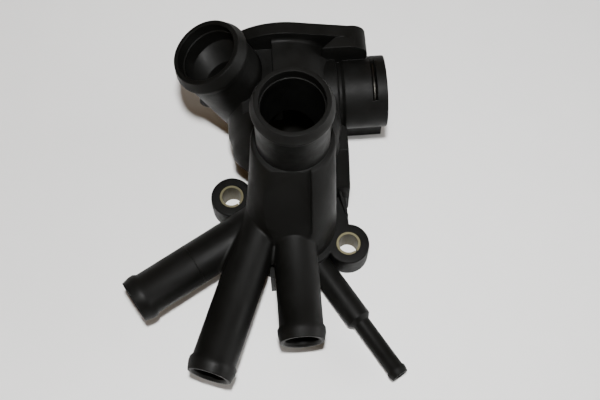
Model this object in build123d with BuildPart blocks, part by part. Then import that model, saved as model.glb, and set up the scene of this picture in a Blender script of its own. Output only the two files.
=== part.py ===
"""Thermostat housing: one glass-filled nylon moulding with its metal parts, in millimetres.

The origin is the centre of the round opening in the mounting face, midway between the
two bolt lugs. +Z points away from the engine, -Y towards the open ends of the hose tails.
"""
import os
from math import cos, radians, sin

from build123d import *

# Mounting foot
foot_radius = 24.5
foot_height = 14.0
foot_opening = 15.0
bolt_spacing = 58.0
bolt_line_angle = -27.5
lug_radius = 9.5
lug_neck = 14.0
lug_round = 0.8
seal_groove_radius = 19.0
seal_groove_width = 3.2
seal_groove_depth = 2.2

# Rolled steel sleeves in the lugs
sleeve_outer = 5.4
sleeve_wall = 1.0
sleeve_slit = 0.7
sleeve_slit_angle = -50.0

# Walls
wall = 2.8

# Rising duct from the foot to the upright port
duct_low_z, duct_low_x, duct_low_y, duct_low_r = 10.0, 0.0, 0.0, 21.5
duct_mid_z, duct_mid_x, duct_mid_y, duct_mid_r = 36.0, 1.2, 1.5, 19.5
duct_top_z, duct_top_x, duct_top_y, duct_top_r = 62.0, 3.2, 18.0, 17.9
shoulder_round = 1.2

# Flat on the duct's front, turned a little to the left, and the groove at its right edge
front_flat_x = 9.6
front_flat_depth = 1.4
front_flat_turn = 5.0
front_flat_inset = 2.0
front_groove_width = 2.6
front_groove_depth = 1.3
front_groove_y = 2.9
front_groove_run = (-0.9, -19.4, -26.0)

# Large hose ports: neck, bead and bore
neck_radius = 15.7
port_bead_radius = 17.1
port_face_radius = 15.3
port_bead_length = 9.0
port_bead_rise = 4.0
port_bore_radius = 13.4
port_bore_step = 0.5
port_bore_lead = 5.0
upright_port_height = 94.0

# Leaning port: centre of its open end, and the way it points
leaning_x, leaning_y, leaning_z = -30.9, 54.2, 74.6
leaning_tilt = 23.7
leaning_swing = 7.0
leaning_length = 40.0
leaning_pocket = 12.0
leaning_funnel = 6.0
leaning_inner_bore = 10.0
leaning_inner_shift = -4.5

# Thermostat chamber, its axis along Y
chamber_x = 0.5
chamber_z = 40.0
chamber_radius = 25.0
chamber_shoulder_y = 31.0
chamber_taper = 4.6
dome_radius = 23.6
dome_y = 23.2
dome_depth = 10.4

# Flat let into the chamber's upper left, beside the leaning port
flat_x = -3.0
flat_z = 57.5
flat_front_y = 33.0

# Chamber flange and its two ears
flange_back_y = 69.5
flange_thickness = 5.6
flange_radius = 30.0
flange_root_round = 1.6
ear_radius = 7.2
ear_web_radius = 6.8
ear_length = 11.0
ear_pitch_radius = 35.2
ear_angle = 28.0
seat_radius = 26.0
seat_depth = 4.0
gusset_low_z = 46.0
gusset_top_z = 64.2
gusset_root_width = 6.6
gusset_tip_width = 13.0

# Threaded inserts in the ears
insert_radius = 4.2
insert_length = 9.5
insert_bore = 2.5

# Side port with its root groove, clip slot and spring clip
side_y = 49.0
side_radius = 16.0
side_end_x = 46.4
side_bore = 13.4
side_inner_bore = 12.4
side_step_x = 30.5
collar_radius = 17.0
collar_end_x = 24.4
root_groove_radius = 14.9
root_groove_start_x = 25.2
root_groove_end_x = 26.4
root_groove_slope = 1.4
slot_x = 40.8
slot_width = 2.2
slot_start_angle = 58.0
slot_end_angle = 133.0
clip_wire_radius = 0.8
clip_ring_radius = 13.9
clip_opening_angle = 50.0
clip_start_angle = -60.0

# Rib under the side port, plate and cheek beside the duct, keel under the chamber
rib_thickness = 4.0
rib_end_x = 47.6
rib_gap = 0.6
plate_edge_x = 26.8
plate_inner_x = 16.0
plate_front_y = -8.0
cheek_inner_x = 21.0
cheek_edge_x = 28.2
cheek_front_y = 9.4
cheek_front_z = 25.0
cheek_top_y = 22.0
cheek_top_z = 38.0
cheek_round = 2.5
strut_thickness = 1.0
strut_start = (26.4, 0.0)
strut_end = (23.4, 10.5)
strut_height = 7.0
keel_width = 5.0
keel_back_y = 60.0

# Small upright web between two of the tails
web_x = -9.3
web_thickness = 2.0
web_front_y = -29.0
web_height = 20.0

# Hose tails: angle from -Y, sideways offset, height and reach of the open end
tail_radius = 9.5
tail_bead_radius = 10.35
tail_bead_length = 7.0
tail_bore = 7.25
tail_bead_rise = 1.4
tail_chamfer = 1.0
tails = [
    (-60.0, -3.2, 23.0, 78.8),
    (-21.6, -9.4, 26.5, 81.2),
    (0.0, 1.3, 26.5, 60.5),
]
tail_root_rounds = [1.5, 1.5, 1.0]

# Small stepped nipple at the foot
nipple_angle = 30.3
nipple_z = 7.0
nipple_root_radius = 5.75
nipple_root_reach = 56.5
nipple_root_round = 2.0
nipple_radius = 3.9
nipple_bead_radius = 4.4
nipple_bead_length = 4.0
nipple_bead_rise = 0.8
nipple_reach = 85.2
nipple_bore = 2.4


def outward(angle):
    """Level direction at an angle from -Y, positive towards +X."""
    return Vector(sin(radians(angle)), -cos(radians(angle)), 0)


def tail_plane(angle, offset, height):
    """Plane whose X runs out along a level tail's axis."""
    way = outward(angle)
    side = Vector(-way.Y, way.X, 0)
    return Plane(origin=side * offset + Vector(0, 0, height), x_dir=way, z_dir=(0, 0, 1))


def turned(plane, points, mode=Mode.ADD):
    """Revolve a half outline, given as (along, radius) points, about the plane's X axis."""
    with BuildSketch(plane) as outline:
        with BuildLine():
            Polyline(*points, close=True)
        make_face()
    revolve(outline.sketch, axis=Axis(plane.origin, plane.x_dir), mode=mode)


def beaded(plane, start, end, radius, bead, bead_length, bead_rise, face):
    """A spigot from start to end along the plane's X, with a hose bead at its open end."""
    turned(plane, [
        (start, 0),
        (start, radius),
        (end - bead_length, radius),
        (end - bead_length + bead_rise, bead),
        (end - 0.5 * bead_length, bead),
        (end, face),
        (end, 0),
    ])


def port_bore(plane, start, end):
    """Bore of a large port: narrow below, one step wider near the open end."""
    turned(plane, [
        (start, 0),
        (start, port_bore_radius - port_bore_step),
        (end - port_bore_lead, port_bore_radius - port_bore_step),
        (end - port_bore_lead, port_bore_radius),
        (end, port_bore_radius),
        (end, 0),
    ], mode=Mode.SUBTRACT)


right_lug = Vector(cos(radians(bolt_line_angle)), sin(radians(bolt_line_angle)), 0) * bolt_spacing / 2
left_lug = -right_lug
chamber_axis = Plane(origin=(chamber_x, 0, chamber_z), x_dir=(0, 1, 0), z_dir=(1, 0, 0))
flange_face = Plane(origin=(chamber_x, flange_back_y, chamber_z), x_dir=(1, 0, 0), z_dir=(0, -1, 0))
ear_out = Vector(cos(radians(ear_angle)), sin(radians(ear_angle))) * ear_pitch_radius
side_axis = Plane(origin=(0, side_y, chamber_z), x_dir=(1, 0, 0), z_dir=(0, -1, 0))
side_line = Axis((0, side_y, chamber_z), (1, 0, 0))
slot_plane = Plane(
    origin=side_axis.origin,
    x_dir=(1, 0, 0),
    z_dir=(0, -sin(radians(slot_start_angle)), cos(radians(slot_start_angle))),
)
clip_plane = Plane(
    origin=side_axis.origin,
    x_dir=(1, 0, 0),
    z_dir=(0, -sin(radians(clip_start_angle)), cos(radians(clip_start_angle))),
)
upright_axis = Plane(origin=(duct_top_x, duct_top_y, 0), x_dir=(0, 0, 1), z_dir=(0, 1, 0))
ear_x = chamber_x + ear_out.X
rib_top_z = chamber_z - side_bore - rib_gap
flange_front_y = flange_back_y - flange_thickness
seat_floor_y = flange_back_y - seat_depth
leaning_way = Vector(
    -sin(radians(leaning_tilt)) * cos(radians(leaning_swing)),
    sin(radians(leaning_tilt)) * sin(radians(leaning_swing)),
    cos(radians(leaning_tilt)),
)
leaning_side = Vector(sin(radians(leaning_swing)), cos(radians(leaning_swing)), 0)
leaning_axis = Plane(origin=(leaning_x, leaning_y, leaning_z), x_dir=leaning_way, z_dir=leaning_side)
leaning_root = leaning_axis.origin - leaning_way * leaning_length
leaning_inner_axis = Plane(
    origin=(leaning_x, leaning_y + leaning_inner_shift, leaning_z), x_dir=leaning_way, z_dir=leaning_side,
)
leaning_floor = leaning_pocket + leaning_funnel
nipple_plane = tail_plane(nipple_angle, 0, nipple_z)
front_rise = Vector(
    0, duct_top_y - duct_top_r - duct_mid_y + duct_mid_r, duct_top_z - duct_mid_z,
)
front_across = Vector(cos(radians(front_flat_turn)), -sin(radians(front_flat_turn)), 0)
front_flat_plane = Plane(
    origin=(front_flat_x, duct_top_y - duct_top_r + front_flat_depth, duct_top_z),
    x_dir=front_across,
    z_dir=front_across.cross(front_rise),
)
strut_run = Vector(*strut_end) - Vector(*strut_start)
strut_plane = Plane(
    origin=(*strut_start, foot_height), x_dir=strut_run, z_dir=(strut_run.Y, -strut_run.X, 0),
)

with BuildPart() as housing_body:
    # Foot with its two bolt lugs
    with BuildSketch(Plane.XY):
        Circle(foot_radius)
        with Locations(right_lug, left_lug):
            Circle(lug_radius)
        Rectangle(bolt_spacing, lug_neck, rotation=bolt_line_angle)
        with Locations(((plate_inner_x + plate_edge_x) / 2, (plate_front_y + side_y) / 2)):
            Rectangle(plate_edge_x - plate_inner_x, side_y - plate_front_y)
    extrude(amount=foot_height)
    fillet(housing_body.edges().group_by(Axis.Z)[-1], lug_round)

    # Rising duct, from the foot up to the shoulder of the upright port
    for z, x, y, r in (
        (duct_low_z, duct_low_x, duct_low_y, duct_low_r),
        (duct_mid_z, duct_mid_x, duct_mid_y, duct_mid_r),
        (duct_top_z, duct_top_x, duct_top_y, duct_top_r),
    ):
        with BuildSketch(Plane((x, y, z))):
            Circle(r)
    loft()
    fillet(housing_body.edges().group_by(Axis.Z)[-1], shoulder_round)
    with BuildSketch(front_flat_plane):
        Rectangle(2 * duct_mid_r, 3 * front_rise.length, align=(Align.MAX, Align.CENTER))
    extrude(amount=duct_mid_r, mode=Mode.SUBTRACT)
    with BuildSketch(Plane.XY.offset(duct_top_z)):
        with BuildLine():
            Polyline(
                (front_flat_x, -duct_mid_r),
                (front_flat_x, front_groove_y),
                (front_flat_x - front_groove_width, front_groove_y - front_groove_depth),
                (front_flat_x - front_groove_width, -duct_mid_r),
                close=True,
            )
        make_face()
    extrude(amount=Vector(*front_groove_run).length, dir=front_groove_run, mode=Mode.SUBTRACT)

    # Hose tails, each blended into the duct and the foot
    for (angle, offset, height, reach), root_round in zip(tails, tail_root_rounds):
        beaded(
            tail_plane(angle, offset, height), 0, reach,
            tail_radius, tail_bead_radius, tail_bead_length, tail_bead_rise, tail_radius,
        )
        fillet(housing_body.edges(Select.NEW), root_round)

    # Thermostat chamber with its domed front end
    with BuildSketch(chamber_axis):
        with BuildLine():
            EllipticalCenterArc(
                (dome_y, 0), dome_depth, dome_radius, start_angle=90, arc_size=90,
            )
            Polyline(
                (dome_y, dome_radius),
                (chamber_shoulder_y - chamber_taper, dome_radius),
                (chamber_shoulder_y, chamber_radius),
                (flange_front_y - flange_root_round, chamber_radius),
            )
            TangentArc(
                (flange_front_y - flange_root_round, chamber_radius),
                (flange_front_y, chamber_radius + flange_root_round),
                tangent=(1, 0),
            )
            Polyline(
                (flange_front_y, chamber_radius + flange_root_round),
                (flange_back_y, chamber_radius + flange_root_round),
                (flange_back_y, 0),
                (dome_y - dome_depth, 0),
            )
        make_face()
    revolve(axis=Axis(chamber_axis.origin, chamber_axis.x_dir))
    with BuildSketch(Plane.XZ.offset(-flat_front_y)):
        with BuildLine():
            Polyline(
                (flat_x, flat_z),
                (flat_x, 2 * flat_z),
                (flat_x - 2 * chamber_radius, 2 * flat_z),
                (flat_x - 2 * chamber_radius, flat_z),
                close=True,
            )
        make_face()
    extrude(amount=flat_front_y - flange_back_y, mode=Mode.SUBTRACT)

    # Flange with its two ears and the gusset behind the upper one
    with BuildSketch(flange_face):
        Circle(flange_radius)
        with Locations(ear_out, -ear_out):
            Circle(ear_web_radius)
        make_hull()
    extrude(amount=flange_thickness)
    with BuildSketch(flange_face):
        with Locations(ear_out, -ear_out):
            Circle(ear_radius)
    extrude(amount=ear_length)
    with BuildSketch(Plane.XY.offset(gusset_low_z)):
        with BuildLine():
            Polyline(
                (ear_x - gusset_root_width, flange_front_y),
                (ear_x - gusset_tip_width, flange_back_y - ear_length),
                (ear_x, flange_back_y - ear_length),
                (ear_x, flange_front_y),
                close=True,
            )
        make_face()
    extrude(amount=gusset_top_z - gusset_low_z)

    # Side port with a collar and a groove at its root, and the rib under it
    turned(side_axis, [
        (0, 0),
        (0, collar_radius),
        (collar_end_x, collar_radius),
        (root_groove_start_x, root_groove_radius),
        (root_groove_end_x, root_groove_radius),
        (root_groove_end_x + root_groove_slope, side_radius),
        (side_end_x, side_radius),
        (side_end_x, 0),
    ])
    with Locations(((cheek_inner_x + rib_end_x) / 2, side_y, rib_top_z / 2)):
        Box(rib_end_x - cheek_inner_x, rib_thickness, rib_top_z)

    # Cheek beside the duct and the thin strut in front of it
    with BuildSketch(Plane.YZ.offset(cheek_inner_x)) as cheek:
        with BuildLine():
            Polyline(
                (cheek_front_y, 0),
                (cheek_front_y, cheek_front_z),
                (cheek_top_y, cheek_top_z),
                (side_y, cheek_top_z),
                (side_y, 0),
                close=True,
            )
        make_face()
        fillet(cheek.vertices().sort_by_distance((cheek_front_y, cheek_front_z, 0))[0], cheek_round)
    extrude(amount=cheek_edge_x - cheek_inner_x)
    with BuildSketch(strut_plane):
        with BuildLine():
            Polyline((0, -1), (strut_run.length, -1), (strut_run.length, strut_height), (0, 0.4), close=True)
        make_face()
    extrude(amount=strut_thickness / 2, both=True)

    # Keel that carries the chamber down to the mounting face, web between two tails
    with Locations((chamber_x, keel_back_y / 2, chamber_z / 2)):
        Box(keel_width, keel_back_y, chamber_z)
    with Locations((web_x, web_front_y / 2, web_height / 2)):
        Box(web_thickness, -web_front_y, web_height)

    # Upright and leaning ports
    beaded(
        upright_axis, chamber_z, upright_port_height,
        neck_radius, port_bead_radius, port_bead_length, port_bead_rise, port_face_radius,
    )
    beaded(
        leaning_axis, -leaning_length, 0,
        neck_radius, port_bead_radius, port_bead_length, port_bead_rise, port_face_radius,
    )
    with Locations(leaning_root):
        Sphere(neck_radius)

    # Stepped nipple
    turned(nipple_plane, [
        (foot_opening, 0),
        (foot_opening, nipple_root_radius),
        (nipple_root_reach - nipple_root_round, nipple_root_radius),
        (nipple_root_reach, nipple_radius),
        (nipple_root_reach, 0),
    ])
    beaded(
        nipple_plane, nipple_root_reach, nipple_reach,
        nipple_radius, nipple_bead_radius, nipple_bead_length, nipple_bead_rise, nipple_radius,
    )

    # Hollow inside: duct, chamber and the seat in the flange
    for z, x, y, r in (
        (duct_low_z, duct_low_x, duct_low_y, foot_opening),
        (duct_mid_z, duct_mid_x, duct_mid_y + front_flat_inset, duct_mid_r - wall),
        (duct_top_z - wall, duct_top_x, duct_top_y, port_bore_radius - 2 * port_bore_step),
    ):
        with BuildSketch(Plane((x, y, z))):
            Circle(r)
    loft(mode=Mode.SUBTRACT)
    with Locations((duct_low_x, duct_low_y, duct_low_z / 2)):
        Cylinder(foot_opening, duct_low_z, mode=Mode.SUBTRACT)
    with BuildSketch(chamber_axis):
        with BuildLine():
            EllipticalCenterArc(
                (dome_y, 0), dome_depth - wall, dome_radius - wall, start_angle=90, arc_size=90,
            )
            Polyline(
                (dome_y, dome_radius - wall),
                (chamber_shoulder_y - chamber_taper, dome_radius - wall),
                (chamber_shoulder_y, chamber_radius - wall),
                (seat_floor_y, chamber_radius - wall),
                (seat_floor_y, seat_radius),
                (flange_back_y, seat_radius),
                (flange_back_y, 0),
                (dome_y - dome_depth + wall, 0),
            )
        make_face()
    revolve(axis=Axis(chamber_axis.origin, chamber_axis.x_dir), mode=Mode.SUBTRACT)

    # Wall that follows the flat: its roof and side, then its front
    with BuildSketch(Plane.XZ.offset(wall - flat_front_y)):
        with Locations((chamber_x, chamber_z)):
            Circle(chamber_radius - wall / 4)
        with BuildLine():
            Polyline(
                (-chamber_radius, flat_z - wall),
                (flat_x + wall, flat_z - wall),
                (flat_x + wall, 2 * flat_z),
                (flat_x, 2 * flat_z),
                (flat_x, flat_z),
                (-chamber_radius, flat_z),
                close=True,
            )
        make_face(mode=Mode.INTERSECT)
    extrude(amount=flat_front_y - wall - seat_floor_y)
    for y, thickness in ((flat_front_y - wall, wall), (flange_front_y, seat_floor_y - flange_front_y)):
        with BuildSketch(Plane.XZ.offset(-y)):
            with Locations((chamber_x, chamber_z)):
                Circle(chamber_radius - wall / 4)
            with BuildLine():
                Polyline(
                    (-chamber_radius, flat_z - wall),
                    (flat_x + wall, flat_z - wall),
                    (flat_x + wall, 2 * flat_z),
                    (-chamber_radius, 2 * flat_z),
                    close=True,
                )
            make_face(mode=Mode.INTERSECT)
        extrude(amount=-thickness)

    # Bores of the ports, tails and nipple
    port_bore(upright_axis, chamber_z, upright_port_height)
    port_bore(leaning_axis, -leaning_pocket, 0)
    with BuildSketch(Plane(leaning_axis.origin - leaning_way * leaning_pocket, z_dir=leaning_way)):
        Circle(port_bore_radius - port_bore_step)
    with BuildSketch(Plane(leaning_inner_axis.origin - leaning_way * leaning_floor, z_dir=leaning_way)):
        Circle(leaning_inner_bore)
    loft(mode=Mode.SUBTRACT)
    turned(leaning_inner_axis, [
        (-leaning_length, 0),
        (-leaning_length, leaning_inner_bore),
        (-leaning_floor, leaning_inner_bore),
        (-leaning_floor, 0),
    ], mode=Mode.SUBTRACT)
    turned(side_axis, [
        (0, 0),
        (0, side_inner_bore),
        (side_step_x, side_inner_bore),
        (side_step_x, side_bore),
        (side_end_x, side_bore),
        (side_end_x, 0),
    ], mode=Mode.SUBTRACT)
    for angle, offset, height, reach in tails:
        turned(tail_plane(angle, offset, height), [
            (0, 0),
            (0, tail_bore),
            (reach - tail_chamfer, tail_bore),
            (reach, tail_bore + tail_chamfer),
            (reach, 0),
        ], mode=Mode.SUBTRACT)
    turned(nipple_plane, [(0, 0), (0, nipple_bore), (nipple_reach, nipple_bore), (nipple_reach, 0)],
           mode=Mode.SUBTRACT)

    # Holes for the sleeves and inserts, and the seal groove in the mounting face
    with BuildSketch(Plane.XY):
        with Locations(right_lug, left_lug):
            Circle(sleeve_outer)
    extrude(amount=foot_height, mode=Mode.SUBTRACT)
    with BuildSketch(flange_face):
        with Locations(ear_out, -ear_out):
            Circle(insert_radius)
    extrude(amount=insert_length, mode=Mode.SUBTRACT)
    with BuildSketch(Plane.XY):
        Circle(seal_groove_radius + seal_groove_width / 2)
        Circle(seal_groove_radius - seal_groove_width / 2, mode=Mode.SUBTRACT)
    extrude(amount=seal_groove_depth, mode=Mode.SUBTRACT)

    # Groove that holds the spring clip, and the slot that shows it
    with BuildSketch(side_axis):
        with Locations((slot_x, clip_ring_radius)):
            Circle(clip_wire_radius)
    revolve(axis=side_line, mode=Mode.SUBTRACT)
    with BuildSketch(slot_plane):
        with Locations((slot_x, side_radius)):
            Rectangle(slot_width, 2 * (side_radius - side_bore))
    revolve(axis=side_line, revolution_arc=slot_end_angle - slot_start_angle, mode=Mode.SUBTRACT)

housing_body.part.label = "housing_body"

# Rolled steel sleeves, each with its slit
with BuildPart() as sleeve_left:
    with BuildSketch(Plane(left_lug)):
        Circle(sleeve_outer)
        Circle(sleeve_outer - sleeve_wall, mode=Mode.SUBTRACT)
        with PolarLocations(sleeve_outer, 1, start_angle=sleeve_slit_angle):
            Rectangle(2 * sleeve_outer, sleeve_slit, mode=Mode.SUBTRACT)
    extrude(amount=foot_height)
sleeve_left.part.label = "sleeve_left"

with BuildPart() as sleeve_right:
    with BuildSketch(Plane(right_lug)):
        Circle(sleeve_outer)
        Circle(sleeve_outer - sleeve_wall, mode=Mode.SUBTRACT)
        with PolarLocations(sleeve_outer, 1, start_angle=sleeve_slit_angle):
            Rectangle(2 * sleeve_outer, sleeve_slit, mode=Mode.SUBTRACT)
    extrude(amount=foot_height)
sleeve_right.part.label = "sleeve_right"

# Brass threaded inserts in the ears
with BuildPart() as insert_upper:
    with BuildSketch(flange_face):
        with Locations(ear_out):
            Circle(insert_radius)
            Circle(insert_bore, mode=Mode.SUBTRACT)
    extrude(amount=insert_length)
insert_upper.part.label = "insert_upper"

with BuildPart() as insert_lower:
    with BuildSketch(flange_face):
        with Locations(-ear_out):
            Circle(insert_radius)
            Circle(insert_bore, mode=Mode.SUBTRACT)
    extrude(amount=insert_length)
insert_lower.part.label = "insert_lower"

# Spring wire clip, an open ring in the side port
with BuildPart() as retaining_clip:
    with BuildSketch(clip_plane):
        with Locations((slot_x, clip_ring_radius)):
            Circle(clip_wire_radius)
    revolve(axis=side_line, revolution_arc=360 - clip_opening_angle)
retaining_clip.part.label = "retaining_clip"

os.makedirs("parts", exist_ok=True)
export_step(housing_body.part, "parts/housing_body.step")
export_step(sleeve_left.part, "parts/sleeve_left.step")
export_step(sleeve_right.part, "parts/sleeve_right.step")
export_step(insert_upper.part, "parts/insert_upper.step")
export_step(insert_lower.part, "parts/insert_lower.step")
export_step(retaining_clip.part, "parts/retaining_clip.step")
print("housing_body", len(housing_body.part.solids()), round(housing_body.part.volume))
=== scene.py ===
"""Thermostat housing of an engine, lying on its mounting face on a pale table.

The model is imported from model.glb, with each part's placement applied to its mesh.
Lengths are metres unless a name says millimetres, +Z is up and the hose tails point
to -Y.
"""

import math

import bpy
from mathutils import Matrix, Vector


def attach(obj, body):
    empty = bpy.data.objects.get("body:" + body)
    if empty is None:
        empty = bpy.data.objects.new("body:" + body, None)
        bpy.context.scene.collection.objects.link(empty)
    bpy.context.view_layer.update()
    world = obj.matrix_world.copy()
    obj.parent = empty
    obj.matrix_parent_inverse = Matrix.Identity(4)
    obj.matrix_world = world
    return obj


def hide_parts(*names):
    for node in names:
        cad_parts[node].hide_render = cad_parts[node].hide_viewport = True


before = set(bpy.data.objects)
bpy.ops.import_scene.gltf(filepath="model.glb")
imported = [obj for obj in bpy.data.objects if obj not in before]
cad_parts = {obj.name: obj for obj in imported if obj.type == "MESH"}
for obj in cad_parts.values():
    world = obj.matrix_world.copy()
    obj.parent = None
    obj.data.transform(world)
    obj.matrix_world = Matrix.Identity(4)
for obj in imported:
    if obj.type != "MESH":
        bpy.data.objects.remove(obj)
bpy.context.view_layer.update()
bpy.ops.object.select_all(action="DESELECT")


# Housing: one moulding in black nylon with chopped glass, straight from the tool.
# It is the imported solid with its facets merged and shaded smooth; the material rounds
# the moulded edges, which are about half a millimetre on the real one.
def srgb(hex_code):
    """Linear colour of an sRGB hex code."""
    channels = [int(hex_code[i : i + 2], 16) / 255 for i in (1, 3, 5)]
    linear = [c / 12.92 if c <= 0.04045 else ((c + 0.055) / 1.055) ** 2.4 for c in channels]
    return (*linear, 1.0)


def add_node(owner, kind, values=None, links=None, **fields):
    """Add a node to a material or world, set its fields and sockets, and link into it."""
    node = owner.node_tree.nodes.new(kind)
    for name, value in fields.items():
        setattr(node, name, value)
    for socket, value in (values or {}).items():
        node.inputs[socket].default_value = value
    for socket, source in (links or {}).items():
        owner.node_tree.links.new(source, node.inputs[socket])
    return node


def noise_scale(millimetres):
    """Scale of a noise texture whose marks are so many millimetres across."""
    return 1000 / millimetres


def varied_finish(name, metallic, marks_mm, detail, raggedness, colours, roughness, z_scale=1.0):
    """A material whose colour and roughness drift together between two values each.

    They follow one noise, the node "marks", whose marks are marks_mm across and are
    drawn out along Z where z_scale is under 1.
    """
    material = bpy.data.materials.new(name)
    material.use_nodes = True
    shader = material.node_tree.nodes["Principled BSDF"]
    shader.inputs["Metallic"].default_value = metallic
    place = add_node(material, "ShaderNodeTexCoord")
    drawn_out = add_node(
        material, "ShaderNodeMapping",
        values={"Scale": (1.0, 1.0, z_scale)},
        links={"Vector": place.outputs["Object"]},
    )
    marks = add_node(
        material, "ShaderNodeTexNoise", name="marks",
        values={"Scale": noise_scale(marks_mm), "Detail": detail, "Roughness": raggedness},
        links={"Vector": drawn_out.outputs["Vector"]},
    )
    dark, light = colours
    colour = add_node(
        material, "ShaderNodeMix", data_type="RGBA",
        values={6: srgb(dark), 7: srgb(light)},
        links={0: marks.outputs["Fac"]},
    )
    material.node_tree.links.new(colour.outputs[2], shader.inputs["Base Color"])

    # The noise keeps mostly between 0.3 and 0.7, which is spread over the roughness
    smoothest, roughest = roughness
    sheen = add_node(
        material, "ShaderNodeMapRange",
        values={"From Min": 0.3, "From Max": 0.7, "To Min": smoothest, "To Max": roughest},
        links={"Value": marks.outputs["Fac"]},
    )
    material.node_tree.links.new(sheen.outputs["Result"], shader.inputs["Roughness"])
    return material


def smoothed_copy(node, name, sharp_degrees):
    """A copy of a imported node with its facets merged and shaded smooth."""
    facet_weld = 0.000002
    bpy.ops.object.select_all(action="DESELECT")
    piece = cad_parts[node].copy()
    piece.data = piece.data.copy()
    piece.name = name
    piece.data.name = name
    bpy.context.scene.collection.objects.link(piece)
    piece.parent = None
    bpy.context.view_layer.objects.active = piece
    piece.select_set(True)
    bpy.ops.object.mode_set(mode="EDIT")
    bpy.ops.mesh.select_all(action="SELECT")
    bpy.ops.mesh.customdata_custom_splitnormals_clear()
    bpy.ops.mesh.remove_doubles(threshold=facet_weld)
    bpy.ops.object.mode_set(mode="OBJECT")
    bpy.ops.object.shade_smooth_by_angle(angle=math.radians(sharp_degrees))
    return piece


moulding = smoothed_copy("housing_body", "moulded_housing", sharp_degrees=32)

# Black PA66 with 30 % glass, moulded: near-black, with a satin skin whose gloss is weak
# because the fibres roughen it. The melt leaves faint flow marks about 11 mm apart.
nylon = varied_finish(
    "moulded_glass_filled_nylon", metallic=0.0,
    marks_mm=11.0, detail=4.0, raggedness=0.6,
    colours=("#050504", "#0d0d0c"), roughness=(0.43, 0.64),
)
nylon_shader = nylon.node_tree.nodes["Principled BSDF"]
nylon_shader.inputs["IOR"].default_value = 1.53
nylon_shader.inputs["Specular IOR Level"].default_value = 0.085
nylon_place = add_node(nylon, "ShaderNodeTexCoord")

# The fibres are 0.3 mm long and only 0.01 mm thick. They are drawn as a grain 0.4 mm
# across, so that it shows, and it breaks up the highlights.
fibre_grain = add_node(
    nylon, "ShaderNodeTexNoise",
    values={"Scale": noise_scale(0.4), "Detail": 2.0},
    links={"Vector": nylon_place.outputs["Object"]},
)
edge_round = 0.0006
fibre_relief = 0.00005
rounded_edges = add_node(nylon, "ShaderNodeBevel", samples=6, values={"Radius": edge_round})
nylon_surface = add_node(
    nylon, "ShaderNodeBump",
    values={"Strength": 0.3, "Distance": fibre_relief},
    links={"Height": fibre_grain.outputs["Fac"], "Normal": rounded_edges.outputs["Normal"]},
)
nylon.node_tree.links.new(nylon_surface.outputs["Normal"], nylon_shader.inputs["Normal"])

moulding.data.materials.clear()
moulding.data.materials.append(nylon)
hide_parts("housing_body")
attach(moulding, "root")


# Witness line round the left hose tail: a thread of nylon that crept between two parts
# of the mould. It stands 0.16 mm proud of the tail, is part of the same moulding and
# sits 30 mm inboard of the open end.
tail_radius = 0.0095
line_height = 0.00016
line_widening = 1.6
line_middle = (-0.04343, -0.02138, 0.0230)
tail_direction = math.radians(30)
bpy.ops.object.select_all(action="DESELECT")
bpy.ops.mesh.primitive_torus_add(
    major_radius=tail_radius, minor_radius=line_height,
    major_segments=120, minor_segments=10,
)
witness_line = bpy.context.object
witness_line.name = "witness_line_left_tail"
bpy.ops.object.mode_set(mode="EDIT")
bpy.ops.mesh.select_all(action="SELECT")
bpy.ops.transform.resize(value=(1.0, 1.0, line_widening), orient_type="GLOBAL")
bpy.ops.object.mode_set(mode="OBJECT")
witness_line.rotation_euler = (0.0, math.radians(90), tail_direction)
witness_line.location = line_middle
bpy.ops.object.transform_apply(location=True, rotation=True, scale=True)
bpy.ops.object.shade_smooth()
witness_line.data.materials.append(nylon)
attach(witness_line, "root")


# Lug sleeves: strips of zinc-plated steel rolled to a tube and pressed in, so that the
# bolts clamp on metal and not on plastic. The slit is where the strip's ends meet.
# Bore and ends are one plated steel: the bore is painted darker, as painted shade inside it, and
# the end faces lighter, as painted light where they face the lamps.
def plated_steel(name, colours, roughness):
    """Plated steel strip with fine scores along Z, which spread its highlights.

    The rolls' scores are under 0.1 mm apart and are drawn 0.4 mm apart, so that they
    show, and about 7 mm long.
    """
    steel = varied_finish(
        name, metallic=1.0,
        marks_mm=0.4, detail=3.0, raggedness=0.55, z_scale=0.06,
        colours=colours, roughness=roughness,
    )
    score_depth = 0.00002
    surface = add_node(
        steel, "ShaderNodeBump",
        values={"Strength": 0.25, "Distance": score_depth},
        links={"Height": steel.node_tree.nodes["marks"].outputs["Fac"]},
    )
    shader = steel.node_tree.nodes["Principled BSDF"]
    steel.node_tree.links.new(surface.outputs["Normal"], shader.inputs["Normal"])
    return steel


# The darker colours are painted shade for the bore; the lighter ones are painted light for the
# end faces.
bore_steel_painted_shade = plated_steel("plated_steel_bore_painted_shade", ("#3d3829", "#5b5542"), (0.5, 0.66))
end_steel_painted_light = plated_steel("plated_steel_end_painted_light", ("#59543f", "#79745c"), (0.4, 0.54))
for side in ("left", "right"):
    sleeve = smoothed_copy("sleeve_" + side, "rolled_sleeve_" + side, sharp_degrees=32)
    sleeve.data.materials.clear()
    sleeve.data.materials.append(bore_steel_painted_shade)
    sleeve.data.materials.append(end_steel_painted_light)
    # Faces turned up or down take the lighter steel, as painted light; the bore takes the darker
    # steel, as painted shade.
    for face in sleeve.data.polygons:
        is_end_face = abs(face.normal.z) > 0.5
        face.material_index = 1 if is_end_face else 0
    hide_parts("sleeve_" + side)
    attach(sleeve, "root")


# Threaded inserts: turned brass, moulded into the two ears of the chamber's flange.
# Each has an M6 thread of 1 mm pitch, cut by a three-sided prism wound down its bore of
# 5 mm. The prism starts and ends outside the insert, so that the thread runs right out.
thread_pitch = 0.001
thread_turns = 12
steps_per_turn = 28
prism_radius = 0.00038
prism_to_axis = 0.00263
prism_overrun = 0.0012
prism_weld = 0.000001
thread_weld = 0.000004
thread_sliver = 0.000002

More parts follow.
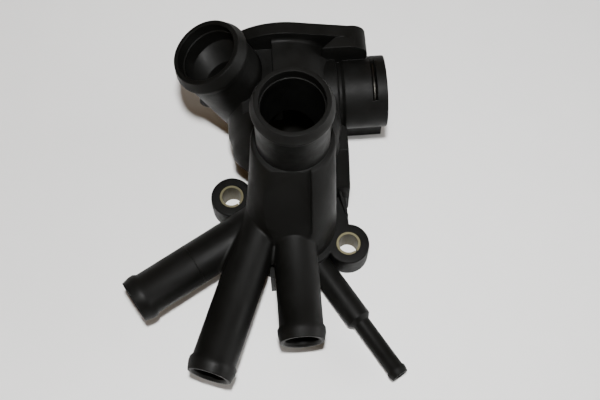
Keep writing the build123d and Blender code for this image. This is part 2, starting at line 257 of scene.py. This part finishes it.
# Turned brass, bright and yellow. The lathe's marks are about 0.15 mm apart and are
# drawn 0.55 mm apart, so that they show as an uneven polish.
brass = varied_finish(
    "turned_brass", metallic=1.0,
    marks_mm=0.55, detail=3.0, raggedness=0.5,
    colours=("#b8934b", "#d2b06a"), roughness=(0.24, 0.38),
)
for place in ("upper", "lower"):
    insert = smoothed_copy("insert_" + place, "threaded_insert_" + place, sharp_degrees=32)
    corners = [Vector(corner) for corner in insert.bound_box]
    middle = sum(corners, Vector()) / len(corners)
    front_y = min(corner.y for corner in corners)

    # The prism's section stands up in the XZ plane and is wound about Z
    bpy.ops.object.select_all(action="DESELECT")
    bpy.ops.mesh.primitive_circle_add(
        vertices=3, radius=prism_radius,
        location=(prism_to_axis, 0.0, 0.0), rotation=(0.0, 0.0, math.radians(-90)),
    )
    groove = bpy.context.object
    bpy.ops.object.transform_apply(location=True, rotation=True, scale=True)
    groove.rotation_euler = (math.radians(90), 0.0, 0.0)
    bpy.ops.object.transform_apply(location=False, rotation=True, scale=False)
    winding = groove.modifiers.new("winding", "SCREW")
    winding.axis = "Z"
    winding.angle = math.radians(360)
    winding.screw_offset = thread_pitch
    winding.iterations = thread_turns
    winding.steps = steps_per_turn
    winding.render_steps = steps_per_turn
    bpy.ops.object.modifier_apply(modifier="winding")
    bpy.ops.object.mode_set(mode="EDIT")
    bpy.ops.mesh.select_all(action="SELECT")
    bpy.ops.mesh.remove_doubles(threshold=prism_weld)
    bpy.ops.mesh.fill_holes(sides=4)
    bpy.ops.mesh.select_all(action="SELECT")
    bpy.ops.mesh.normals_make_consistent(inside=False)
    bpy.ops.object.mode_set(mode="OBJECT")

    # The winding is laid along Y, down the insert's bore, and cut away
    groove.rotation_euler = (math.radians(-90), 0.0, 0.0)
    groove.location = (middle.x, front_y - prism_overrun, middle.z)
    bpy.ops.object.transform_apply(location=True, rotation=True, scale=True)
    bpy.ops.object.select_all(action="DESELECT")
    insert.select_set(True)
    bpy.context.view_layer.objects.active = insert
    tapping = insert.modifiers.new("tapping", "BOOLEAN")
    tapping.operation = "DIFFERENCE"
    tapping.solver = "EXACT"
    tapping.object = groove
    bpy.ops.object.modifier_apply(modifier="tapping")
    bpy.data.objects.remove(groove, do_unlink=True)

    # Slivers left by the cut are merged away, so that the mesh stays closed
    bpy.ops.object.mode_set(mode="EDIT")
    bpy.ops.mesh.select_all(action="SELECT")
    bpy.ops.mesh.remove_doubles(threshold=thread_weld)
    bpy.ops.mesh.dissolve_degenerate(threshold=thread_sliver)
    bpy.ops.mesh.quads_convert_to_tris()
    bpy.ops.mesh.remove_doubles(threshold=thread_weld)
    bpy.ops.object.mode_set(mode="OBJECT")
    bpy.ops.object.shade_smooth_by_angle(angle=math.radians(32))
    insert.data.materials.clear()
    insert.data.materials.append(brass)
    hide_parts("insert_" + place)
    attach(insert, "root")


# Retaining clip: an open ring of hard-drawn spring wire, snapped into the side port's
# groove and coloured dark grey. The slot leaves a piece of it in view, nearly as dark as
# the nylon beside it. Its colour and roughness drift in patches about 2.5 mm across.
wire = varied_finish(
    "dark_grey_spring_wire", metallic=1.0,
    marks_mm=2.5, detail=4.0, raggedness=0.6,
    colours=("#242322", "#43413d"), roughness=(0.34, 0.5),
)
clip = smoothed_copy("retaining_clip", "wire_clip", sharp_degrees=40)
clip.data.materials.clear()
clip.data.materials.append(wire)
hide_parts("retaining_clip")
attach(clip, "root")


# Table: a board faced with matt white laminate, whose print is very slightly uneven in
# marks 17 mm across. It is far larger than the picture, so that its edges stay out of
# every view.
bpy.ops.mesh.primitive_plane_add(size=30.0, location=(0.0, 0.0, 0.0))
table_top = bpy.context.object
table_top.name = "table_top"
laminate = bpy.data.materials.new("matt_white_laminate")
laminate.use_nodes = True
laminate_shader = laminate.node_tree.nodes["Principled BSDF"]
laminate_shader.inputs["Roughness"].default_value = 0.75
laminate_place = add_node(laminate, "ShaderNodeTexCoord")
print_mottle = add_node(
    laminate, "ShaderNodeTexNoise",
    values={"Scale": noise_scale(17.0), "Detail": 3.0},
    links={"Vector": laminate_place.outputs["Object"]},
)
laminate_colour = add_node(
    laminate, "ShaderNodeMix", data_type="RGBA",
    values={6: srgb("#e4e4e3"), 7: srgb("#e8e8e7")},
    links={0: print_mottle.outputs["Fac"]},
)
laminate.node_tree.links.new(laminate_colour.outputs[2], laminate_shader.inputs["Base Color"])
table_top.data.materials.append(laminate)


# Light: a flash a hand's breadth above the lens, a soft window light from the right,
# weaker and warmer ones from the left and from behind, and a warm, almost even room
# that is a touch brighter low down.
def area_light(name, shape, size, watts, place, aim, tint="#ffffff"):
    """A light of so many metres across and up, turned from its place to its aim."""
    light = bpy.data.lights.new(name, "AREA")
    light.shape = shape
    light.size, light.size_y = size
    light.energy = watts
    light.color = srgb(tint)[:3]
    lamp = bpy.data.objects.new(name, light)
    lamp.location = place
    lamp.rotation_euler = (Vector(aim) - lamp.location).to_track_quat("-Z", "Y").to_euler()
    bpy.context.scene.collection.objects.link(lamp)


area_light(
    "flash", "DISK", size=(0.035, 0.035), watts=6.4,
    place=(-0.0045, -0.1225, 0.554), aim=(0.006, 0.015, 0.0),
)
area_light(
    "window", "RECTANGLE", size=(2.1, 0.9), watts=76.0,
    place=(2.4, -0.45, 0.6), aim=(0.0, 0.02, 0.04),
)
area_light(
    "bounce", "RECTANGLE", size=(1.8, 0.9), watts=6.0,
    place=(-2.25, -1.05, 0.6), aim=(0.0, 0.02, 0.04), tint="#ffd9a6",
)
area_light(
    "far_lamp", "RECTANGLE", size=(2.4, 0.9), watts=6.0,
    place=(0.6, 3.0, 1.65), aim=(0.0, 0.03, 0.05), tint="#ffd9a6",
)

room = bpy.data.worlds.new("pale_room")
bpy.context.scene.world = room
room.use_nodes = True
room_way = add_node(room, "ShaderNodeTexCoord")
room_split = add_node(
    room, "ShaderNodeSeparateXYZ",
    links={"Vector": room_way.outputs["Generated"]},
)
room_strength = add_node(
    room, "ShaderNodeMapRange",
    values={"From Min": 0.0, "From Max": 0.9, "To Min": 0.045, "To Max": 0.04},
    links={"Value": room_split.outputs["Z"]},
)
room_walls = room.node_tree.nodes["Background"]
room_walls.inputs["Color"].default_value = srgb("#ffcb88")
room.node_tree.links.new(room_strength.outputs["Result"], room_walls.inputs["Strength"])


# Camera: a 60 mm lens on a 36 mm frame, looking down at 67 degrees and a little to the
# right, with the lower edge of its frame level.
camera_aim = Vector((0.0059, 0.0151, 0.0))
camera_turn = math.radians(4.3)
camera_data = bpy.data.cameras.new("camera")
camera_data.lens = 60.0
camera_data.sensor_width = 36.0
camera = bpy.data.objects.new("camera", camera_data)
camera.location = (-0.0077, -0.1660, 0.4382)
bpy.context.scene.collection.objects.link(camera)
looking = (camera_aim - camera.location).normalized()
across = Vector((math.cos(camera_turn), -math.sin(camera_turn), 0.0))
over = across.cross(looking)
camera.rotation_euler = Matrix((across, over, -looking)).transposed().to_euler()
bpy.context.scene.camera = camera
